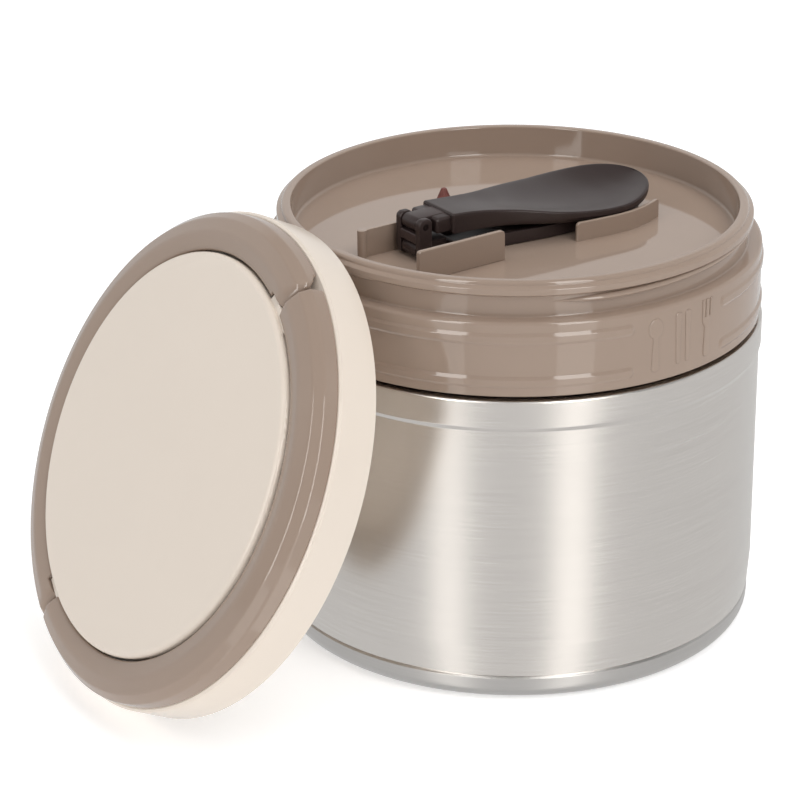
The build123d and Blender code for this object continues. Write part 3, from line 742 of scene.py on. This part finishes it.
def fork_sign():
    """Outline of a fork: three tines over a rounded root, on a handle that widens towards its round foot."""
    half = [(2.1, 115.1), (2.1, 109.6), (2.0, 108.6), (1.6, 107.7), (1.05, 106.9)]
    foot = arc_points((0, 98.9), (1.4, 1.1), 360, 180, 12)
    gaps = [(-1.2, 115.1), (-1.1, 109.9), (-0.66, 109.9), (-0.56, 115.1)]
    return np.concatenate([half, foot, [(-x, z) for x, z in half[::-1]], gaps,
                           [(-x, z) for x, z in gaps[::-1]]])


def plate(outline, height, to_space, soft, sink=0.4):
    """Low plate with a soft edge: inset by soft (1 - cos a), the outline has risen to height sin a."""
    rows = [(0.0, -sink)] + [(soft * (1 - cos(a)), height * sin(a)) for a in np.linspace(0, pi / 2, 6)]
    rings = []
    for cut, off in rows:
        ring = inset(outline, cut)
        rings.append(to_space(ring[:, 0], ring[:, 1], np.full(len(ring), off)))
    return capped(np.array(rings))


class FOODJAR_OT_signs(Operator):
    """Plain raised signs for a spoon, chopsticks and a fork on the collar"""
    bl_idname = "foodjar.signs"
    bl_label = "Cutlery signs"

    def execute(self, context):
        height = context.scene.foodjar_sizes.sign_height / MM
        signs = ((spoon_sign(), SPOON_SIGN_AT, 0.55), (stick_sign(-STICK_APART), STICKS_AT, 0.45),
                 (stick_sign(STICK_APART), STICKS_AT, 0.45), (fork_sign(), FORK_SIGN_AT, 0.24))
        plates = [plate(dense(outline), height, on_drum(COLLAR_R, at), soft) for outline, at, soft in signs]
        piece("cutlery_signs", joined(*plates), "inner_lid", "taupe_gloss")
        return {"FINISHED"}


# ---- bowl and clips: (u, value) knots along the spoon
BOWL_U = (-28.2, -24, -20, -16, -12, -8, -4, 0, 4, 8, 12, 16, 20, 24, 28, 32, 36, 40, 44.4)
BOWL_HALF = list(zip(BOWL_U, (7.5, 7.55, 7.8, 8.4, 9.25, 10.45, 12.0, 13.65, 15.1, 16.2, 17.0, 17.7, 18.2,
                              18.4)))
BOWL_RIM = list(zip(BOWL_U, (13.0, 12.7, 12.3, 11.85, 11.3, 10.75, 10.15, 9.5, 8.9, 8.4, 8.0, 7.7, 7.52, 7.5,
                             7.65, 8.05, 8.65, 9.25, 9.8)))
BOWL_KEEL = [(-28.2, 7.1), (-20, 6.75), (-12, 6.3), (-4, 5.6), (4, 4.9), (12, 4.45), (20, 4.3), (28, 4.4),
             (34, 4.9), (40, 5.9), (44.4, 6.8)]
BOWL_DISH = [(-28.2, 0.0), (-22, 0.15), (-16, 0.5), (-8, 1.2), (0, 1.9), (8, 2.2), (16, 2.25), (24, 2.25),
             (32, 2.3), (38, 1.9), (42, 0.9), (44.4, 0.0)]
BOWL_TAPER = [(-28.2, 0.0), (-20, 0.3), (-10, 1.0), (0, 1.9), (10, 2.8), (20, 3.4), (44.4, 3.0)]
CLIP_LINE = [(7.5, 18.2), (12, 18.9), (17.5, 19.45), (22, 19.75), (26.8, 19.6), (30, 19.05), (33.6, 18.1),
             (37, 16.9), (40.4, 15.4)]


def bowl_plan(count=90):
    """Half of the bowl's plan, from neck to tip: a smooth curve, then a quarter of an ellipse."""
    u = np.linspace(NECK_U, BOWL_WIDE_U, count)
    t = np.linspace(0, pi / 2, count)[1:]
    nose = np.stack([BOWL_WIDE_U + (BOWL_TIP - BOWL_WIDE_U) * np.sin(t), BOWL_HALF[-1][1] * np.cos(t)], 1)
    return np.concatenate([np.stack([u, smooth(u, BOWL_HALF)], 1), nose])


def bowl_clip(side, corner=1.3, soft=0.35):
    """Low wall inside the line CLIP_LINE, lower by corner_drop near its ends, with rounded top edges."""
    along = np.linspace(CLIP_LINE[0][0], CLIP_LINE[-1][0], 400)
    line = np.stack([along, smooth(along, CLIP_LINE)], 1)
    out = sideways(line)
    middle = line - out * CLIP_T / 2
    gone = gone_along(middle)
    at, to_end = stations(gone[-1], corner, 9, 70)
    u, n, du, dn = (np.interp(at, gone, values)[:, None] for values in (*middle.T, *out.T))
    section = rounded([(-CLIP_T / 2, 0, 0), (CLIP_T / 2, 0, 0), (CLIP_T / 2, CLIP_H, soft),
                       (-CLIP_T / 2, CLIP_H, soft)], 4)
    across_by = np.sign(section[:, 0]) * (np.abs(section[:, 0]) - corner_drop(to_end, soft)[:, None])
    h = np.where(section[:, 1] > 0, section[:, 1] - corner_drop(to_end, corner)[:, None], 0)
    return capped(np.stack([u + du * across_by, side * (n + dn * across_by), h], -1))


class FOODJAR_OT_tray(Operator):
    """Floor of the tray, the clips on it and the vent plug"""
    bl_idname = "foodjar.tray"
    bl_label = "Tray"

    def execute(self, context):
        finish_nodes("taupe_gloss", "tray_floor")
        eased("clip_back_moulded", "clip_back", "inner_lid", "taupe_gloss", 0.35)
        start, end = FRONT_CLIP
        front = rounded([(start, 0, 0), (end, 0, 0), (end, FRONT_CLIP_H, 1.4), (start, FRONT_CLIP_H, 0.9)], 6)
        piece("clip_front_moulded", across(prism(front, *FRONT_CLIP_N, 0.35)), "inner_lid", "taupe_gloss",
              "clip_front", matrix=TRAY)
        for name, side in (("clip_curved_front", -1), ("clip_curved_back", 1)):
            piece(name + "_moulded", bowl_clip(side), "inner_lid", "taupe_gloss", name, matrix=SPOON)
        plug = rounded([
            (0, -7.28, 0), (2.5, -7.28, 0.3), (3.4, -4.88, 0.2), (2.5, -4.88, 0), (2.5, 0.04, 0),
            (4.5, 0.04, 0.4), (3.8, 1.4, 1.0), (0.75, 8.8, 0.55), (0, 8.8, 0)], 6)
        piece("vent_plug_moulded", lathe(plug, 64), "vent", "silicone_dark", "vent_plug",
              matrix=TRAY @ shift(VENT_U, VENT_N, 0))
        finish_nodes("plug_plastic", "lid_plug")
        finish_nodes("foam", "lid_foam")
        finish_nodes("silicone_clear", "lid_seal")
        return {"FINISHED"}


# ---- folding spoon
def bowl_part():
    """Spoon bowl on its plan. The rim is rounded, the wall leans in to the keel, the top dips by the dish's
    depth times (1 - s^2)^1.3 across the spoon, and the neck's end face is rounded too."""
    plan = bowl_plan()
    full = np.concatenate([plan, plan[-2::-1] * [1, -1]])
    out = sideways(full)
    out[0], out[-1] = (0, 1), (0, -1)
    a = np.linspace(0, pi / 2, 6)
    b = np.linspace(0, pi / 2, 10)
    rim, keel, taper = (smooth(full[:, 0], knots) for knots in (BOWL_RIM, BOWL_KEEL, BOWL_TAPER))
    start = rim - BOWL_SOFT - np.minimum(BOWL_UPRIGHT, 0.3 * (rim - keel))
    rounds = [(BOWL_SOFT * (1 - sin(x)) + 0 * rim, rim - BOWL_SOFT * (1 - cos(x))) for x in a]
    rounds += [(taper * (1 - cos(x)), start + (keel - start) * sin(x)) for x in b]
    side = np.array([
        np.column_stack([full - out * np.minimum(cut, np.abs(full[:, 1]) * 0.9 + 0.5)[:, None], height])
        for cut, height in rounds])
    side[:, len(plan) - 1, 1] = 0.0
    s = np.linspace(-1, 1, 41)
    top_edge, low_edge = side[0, :len(plan)], side[-1, :len(plan)]
    dish = smooth(top_edge[:, 0], BOWL_DISH)
    top = np.stack([top_edge[:, :1] + 0 * s, top_edge[:, 1:2] * s,
                    top_edge[:, 2:] - dish[:, None] * (1 - s ** 2) ** 1.3], -1)
    under = np.stack([low_edge[:, :1] + 0 * s, low_edge[:, 1:2] * s, low_edge[:, 2:] + 0 * s], -1)
    section = np.concatenate([top[0, ::-1], side[1:-1, -1], under[0], side[-2:0:-1, 0]])[:, 1:]
    rows = [np.column_stack([np.full(len(section), NECK_U - BOWL_END_SOFT * sin(x)),
                             inset(section, BOWL_END_SOFT * (1 - cos(x)))]) for x in a]
    return closed(joined(surface(side), surface(top), surface(under),
                         surface(np.array(rows), False, True, False, True)))


def box_outline(u, h, radius, steps=6):
    """Rounded rectangle between two places along the spoon and two heights."""
    return rounded([(u[0], h[0], radius), (u[1], h[0], radius), (u[1], h[1], radius), (u[0], h[1], radius)],
                   steps)


def across(part):
    """Part drawn upright in (u, h), laid so that its thickness runs across the spoon."""
    points, faces = part
    return np.stack([points[:, 0], points[:, 2], points[:, 1]], 1), [face[::-1] for face in faces]


class FOODJAR_OT_spoon(Operator):
    """Folding spoon: handle, double-pivot link, bowl and pins"""
    bl_idname = "foodjar.spoon"
    bl_label = "Folding spoon"

    def execute(self, context):
        inside = LINK_HALF - CHEEK_T
        cheek = box_outline((PIN_U - LINK_REACH, PIN_U + LINK_REACH), LINK_H, 1.6)
        web = box_outline((PIN_U - LINK_REACH + 0.1, PIN_U + LINK_REACH - 0.1), LINK_WEB, 0.4)
        link = joined(*[across(prism(cheek, start, start + CHEEK_T, 0.4)) for start in (-LINK_HALF, inside)],
                      across(prism(web, -inside - 0.2, inside + 0.2)))
        piece("spoon_link_moulded", link, "spoon_joint", "spoon_brown", "spoon_link", matrix=SPOON)
        eased("spoon_handle_moulded", "spoon_handle", "spoon_lower", "spoon_brown", 0.3)
        root = box_outline((ROOT_U, NECK_U), ROOT_H, 0.9)
        back, low, high = PIN_U - TONGUE_R, HIGH_PIN - TONGUE_R, HIGH_PIN + TONGUE_R
        tongue = rounded([(back, low, 2.0), (NECK_U, low, 0), (NECK_U, high, 0), (back, high, 2.0)], 10)
        bowl = joined(bowl_part(), across(prism(root, -ROOT_HALF, ROOT_HALF, 0.8)),
                      across(prism(tongue, -TONGUE_HALF, TONGUE_HALF, 0.3)))
        piece("spoon_bowl_moulded", bowl, "spoon_upper", "spoon_brown", "spoon_bowl", crease=35,
              matrix=SPOON)
        finish_nodes("pin_steel", "spoon_pin_lower", "spoon_pin_upper")
        return {"FINISHED"}


# ---- outer cover
class FOODJAR_OT_cover(Operator):
    """Outer cover: skirt, seat and raised plate"""
    bl_idname = "foodjar.cover"
    bl_label = "Outer cover"

    def execute(self, context):
        around = context.scene.foodjar_sizes.around
        inside, seat = COVER_R - COVER_WALL, SKIRT_H - COVER_WALL
        shell = rounded([
            (inside, 0, 0.4), (COVER_R, 0, 0.4), (COVER_R, SKIRT_H - SKIRT_EDGE, 0.3),
            (COVER_R - SKIRT_EDGE, SKIRT_H, 0.3), (0, SKIRT_H, 0), (0, seat, 0), (inside, seat, 1.0)], 6)
        piece("cover_shell_moulded", lathe(shell, around), "cover", "cream_plastic", "cover_shell",
              matrix=COVER)
        eased("cover_plate_moulded", "cover_plate", "cover", "cream_plastic", 0.25)
        finish_nodes("pin_steel", "bail_pin_upper", "bail_pin_lower")
        return {"FINISHED"}


def paired(outline, count=44):
    """Convex outline, given from the foot of its inner side over its crown, resampled so that both sides have
    points at the same heights: low + (high - low)(1 - (1 - s)^2) for s from 0 to 1."""
    top = int(np.argmax(outline[:, 1]))
    inner, outer = outline[:top + 1], outline[top:][::-1]
    s = np.linspace(0, 1, count)
    low, high = outline[:, 1].min(), outline[top, 1]
    level = low + (high - low) * (1 - (1 - s) ** 2)
    near = np.interp(level, inner[:, 1], inner[:, 0])
    far = np.interp(level, outer[:, 1], outer[:, 0])
    return np.concatenate([np.stack([near, level], 1), np.stack([far, level], 1)[-2::-1]])


def narrowed(corners, distance):
    """Corners of a rounded outline moved inwards by a distance, with their radii less by as much."""
    points = inset(np.array([corner[:2] for corner in corners], float), distance)
    return [(x, y, max(corner[2] - distance, 0.15)) for (x, y), corner in zip(points, corners)]


def half_ring(corners, end, side, notch_end, round_off):
    """Half of a turned ring. Each outline point (r, h) runs round the axis from the end surface y = end(h) to
    its mirror image. At round_off (1 - sin a) from an end, the outline is inset by round_off (1 - cos a).
    Beside the pins the inner side steps back to clear the plate's bosses."""
    a = np.linspace(pi / 2, 0, 9)
    rings = np.array([paired(rounded(narrowed(corners, cut), 8)) for cut in round_off * (1 - np.cos(a))])
    gone = round_off * (1 - np.sin(a))[:, None]
    ends = np.arcsin((end(rings[..., 1]) + side * gone) / rings[..., 0])
    notch = abs(notch_end / PLATE_R) / pi
    fine = np.sort(np.concatenate([np.linspace(0, 1, 181)[1:-1],
                                   [notch, notch + NOTCH_STEP, 1 - notch, 1 - notch - NOTCH_STEP]]))
    between = ends[-1] + fine[:, None] * (side * pi - 2 * ends[-1])
    whole = np.concatenate([rings, np.repeat(rings[-1:], len(fine), 0), rings[::-1]])
    t = np.concatenate([ends, between, side * pi - ends[::-1]])
    x, y = whole[..., 0] * np.cos(t), whole[..., 0] * np.sin(t)
    clear = (np.abs(y - PIN_Y) < notch_end) & (np.abs(x) < NOTCH_X)
    x = np.where(clear, np.sign(x) * NOTCH_X, x)
    points, faces = surface(np.stack([x, y, whole[..., 1]], -1), False, True)
    rows, columns = t.shape
    low = np.arange(columns // 2)
    quads = np.stack([low, low + 1, columns - 2 - low, columns - 1 - low], 1)
    return closed((points, faces + quads.tolist() + (quads[:, ::-1] + (rows - 1) * columns).tolist()))


def ring_section(low):
    """Corners of the ring's section above a height, from the foot of its inner side over its crown."""
    return [(RING_IN, low, 0.3), *RING_CROWN, (RING_OUT, low, 0.3)]


def flat_end(h):
    """Flat end of the fixed half, clear of the bail's knuckles."""
    return 0 * h + PIN_Y - KNUCKLE_R - KNUCKLE_GAP


def knuckle_end(h):
    """End of the bail, round about its pins: y = PIN_Y - sqrt(KNUCKLE_R^2 - (h - PIN_H)^2)."""
    return PIN_Y - np.sqrt(np.maximum(KNUCKLE_R ** 2 - (h - PIN_H) ** 2, 0))


class FOODJAR_OT_ring(Operator):
    """Taupe ring of the cover: its fixed half and the bail that lifts as a handle"""
    bl_idname = "foodjar.ring"
    bl_label = "Ring and bail"

    def execute(self, context):
        fixed = half_ring(ring_section(SKIRT_H), flat_end, -1, FIXED_NOTCH, FIXED_ROUND)
        piece("fixed_half_ring_moulded", fixed, "cover", "taupe_gloss", "fixed_half_ring", crease=38,
              matrix=COVER)
        bail = half_ring(ring_section(SKIRT_H + BAIL_RISE), knuckle_end, 1, BAIL_NOTCH, BAIL_ROUND)
        piece("bail_moulded", bail, "bail", "taupe_gloss", "bail_handle", crease=38, matrix=COVER)
        return {"FINISHED"}


# ---- stage
def card(name, bearing, width, low, high, strength):
    """Glowing upright card that only shows in reflections."""
    out = np.array([cos(radians(bearing)), sin(radians(bearing))])
    side = np.array([-out[1], out[0]]) * width / 2
    near, far = out * CARD_AWAY - side, out * CARD_AWAY + side
    mesh = bpy.data.meshes.new(name)
    mesh.from_pydata([(*near, low), (*far, low), (*far, high), (*near, high)], [], [(0, 1, 2, 3)])
    made = linked(name, mesh)
    glow, tree, result = blank(name + "_glow")
    light = node_in(tree, "ShaderNodeEmission", Color=(*CARD_COLOUR, 1.0), Strength=strength)
    wire(light.outputs[0], result)
    glow.cycles.emission_sampling = "NONE"
    mesh.materials.append(glow)
    made.visible_camera = made.visible_diffuse = made.visible_shadow = False


def soft_light(name, place, size, power):
    """Square studio lamp at a place, facing the jar."""
    lamp = bpy.data.lights.new(name, "AREA")
    lamp.shape = "RECTANGLE"
    lamp.size, lamp.size_y = size, size
    lamp.energy = power
    made = linked(name, lamp)
    away = Matrix.Translation(place).translation - Matrix.Translation(LAMP_AIM).translation
    made.matrix_world = Matrix.Translation(place) @ away.to_track_quat("Z", "Y").to_matrix().to_4x4()
    made.visible_glossy = False


def floor_material(colour):
    """Matt floor that glows a little, so that it stays pale, and that reflections pass through."""
    paint, tree, result = blank("floor_paint")
    rays = node_in(tree, "ShaderNodeLightPath")
    matt = node_in(tree, "ShaderNodeBsdfDiffuse", Color=(*colour, 1.0))
    veil = node_in(tree, "ShaderNodeEmission", Color=(1, 1, 1, 1))
    glow = maths(tree, "ADD", maths(tree, "MULTIPLY", rays.outputs["Is Camera Ray"], FLOOR_SEEN),
                 maths(tree, "MULTIPLY", rays.outputs["Is Diffuse Ray"], FLOOR_BOUNCE))
    wire(glow, veil.inputs["Strength"])
    both = node_in(tree, "ShaderNodeAddShader")
    wire(matt.outputs[0], both.inputs[0])
    wire(veil.outputs[0], both.inputs[1])
    clear = node_in(tree, "ShaderNodeBsdfTransparent")
    choice = node_in(tree, "ShaderNodeMixShader")
    wire(rays.outputs["Is Glossy Ray"], choice.inputs[0])
    wire(both.outputs[0], choice.inputs[1])
    wire(clear.outputs[0], choice.inputs[2])
    wire(choice.outputs[0], result)
    return paint


def light_world(tree):
    """White surroundings, dimmer in reflections, most of all high up and in front."""
    rays = node_in(tree, "ShaderNodeLightPath")
    seen = maths(tree, "MAXIMUM", rays.outputs["Is Camera Ray"],
                 maths(tree, "MAXIMUM", rays.outputs["Is Glossy Ray"], rays.outputs["Is Transmission Ray"]))
    level = maths(tree, "ADD", maths(tree, "MULTIPLY", seen, WORLD_SEEN), WORLD_FILL)
    where = node_in(tree, "ShaderNodeTexCoord")
    axes = node_in(tree, "ShaderNodeSeparateXYZ")
    wire(where.outputs["Generated"], axes.inputs[0])
    high = eased_step(tree, axes.outputs["Z"], 0.5, 0.75)
    ahead = maths(tree, "MULTIPLY", eased_step(tree, axes.outputs["Z"], 0.0, 0.05),
                  eased_step(tree, axes.outputs["Y"], 0.0, -0.35))
    dark = maths(tree, "MULTIPLY", maths(tree, "MAXIMUM", high, ahead), MIRROR_DARK)
    dark = maths(tree, "MULTIPLY", rays.outputs["Is Glossy Ray"], maths(tree, "ADD", dark, MIRROR_DIM))
    background = tree.nodes["Background"]
    background.inputs["Color"].default_value = (1, 1, 1, 1)
    wire(maths(tree, "SUBTRACT", level, dark), background.inputs["Strength"])


class FOODJAR_OT_stage(Operator):
    """Pale floor, white surroundings, soft studio light and the camera"""
    bl_idname = "foodjar.stage"
    bl_label = "Stage"

    def execute(self, context):
        scene = context.scene
        scene.view_settings.view_transform = "Standard"
        camera = linked("camera", bpy.data.cameras.new("camera"))
        camera.data.lens = scene.foodjar_stage.lens
        camera.data.sensor_width = CAMERA_SENSOR
        camera.data.clip_start = 0.01
        level, up = np.array([1.0, 0, 0]), np.array([0, sin(CAMERA_PITCH), cos(CAMERA_PITCH)])
        right = cos(CAMERA_ROLL) * level + sin(CAMERA_ROLL) * up
        above = cos(CAMERA_ROLL) * up - sin(CAMERA_ROLL) * level
        look = np.eye(4)
        look[:3, :3] = np.stack([right, above, np.cross(right, above)], 1)
        look[:3, 3] = CAMERA_PLACE
        camera.matrix_world = Matrix(look.tolist())
        scene.camera = camera
        mesh = bpy.data.meshes.new("floor")
        corners = [(x * FLOOR_REACH, y * FLOOR_REACH, 0) for x, y in ((-1, -1), (1, -1), (1, 1), (-1, 1))]
        mesh.from_pydata(corners, [], [(0, 1, 2, 3)])
        mesh.materials.append(floor_material(scene.foodjar_colours.floor))
        floor = linked("floor", mesh)
        scene.world = bpy.data.worlds.new("studio")
        scene.world.use_nodes = True
        light_world(scene.world.node_tree)
        for name, bearing, width, mirrored in CARDS:
            card("strip_" + name, bearing, width, CARD_FOOT, CARD_TOP, CARD_GLOW)
            card("mirrored_" + name, bearing, width, CARD_UNDER, CARD_FOOT, mirrored)
        for lamp in LAMPS:
            soft_light(*lamp)
        return {"FINISHED"}


# ---- panel and start
GROUPS = {"foodjar_sizes": FoodJarSizes, "foodjar_colours": FoodJarColours, "foodjar_stage": FoodJarStage}
OPERATORS = (
    FOODJAR_OT_vessel, FOODJAR_OT_collar, FOODJAR_OT_signs, FOODJAR_OT_tray, FOODJAR_OT_spoon,
    FOODJAR_OT_cover, FOODJAR_OT_ring, FOODJAR_OT_stage)


class FOODJAR_PT_panel(Panel):
    """Pieces of the food jar, and its stage"""
    bl_idname = "FOODJAR_PT_panel"
    bl_label = "Food jar"
    bl_space_type = "VIEW_3D"
    bl_region_type = "UI"
    bl_category = "Food jar"

    def draw(self, context):
        for key in GROUPS:
            settings = getattr(context.scene, key)
            for name in settings.__annotations__:
                self.layout.prop(settings, name)
        for operator in OPERATORS:
            self.layout.operator(operator.bl_idname)


CLASSES = (*GROUPS.values(), *OPERATORS, FOODJAR_PT_panel)


def register():
    """Register the classes and hang the settings on the scene."""
    for each in CLASSES:
        bpy.utils.register_class(each)
    for key, settings in GROUPS.items():
        setattr(bpy.types.Scene, key, PointerProperty(type=settings))


def unregister():
    """Take the settings and the classes away again."""
    for key in GROUPS:
        delattr(bpy.types.Scene, key)
    for each in reversed(CLASSES):
        bpy.utils.unregister_class(each)


def main():
    """Register the classes, then build every piece and the stage."""
    register()
    for operator in OPERATORS:
        family, name = operator.bl_idname.split(".")
        getattr(getattr(bpy.ops, family), name)()


if __name__ == "__main__":
    main()
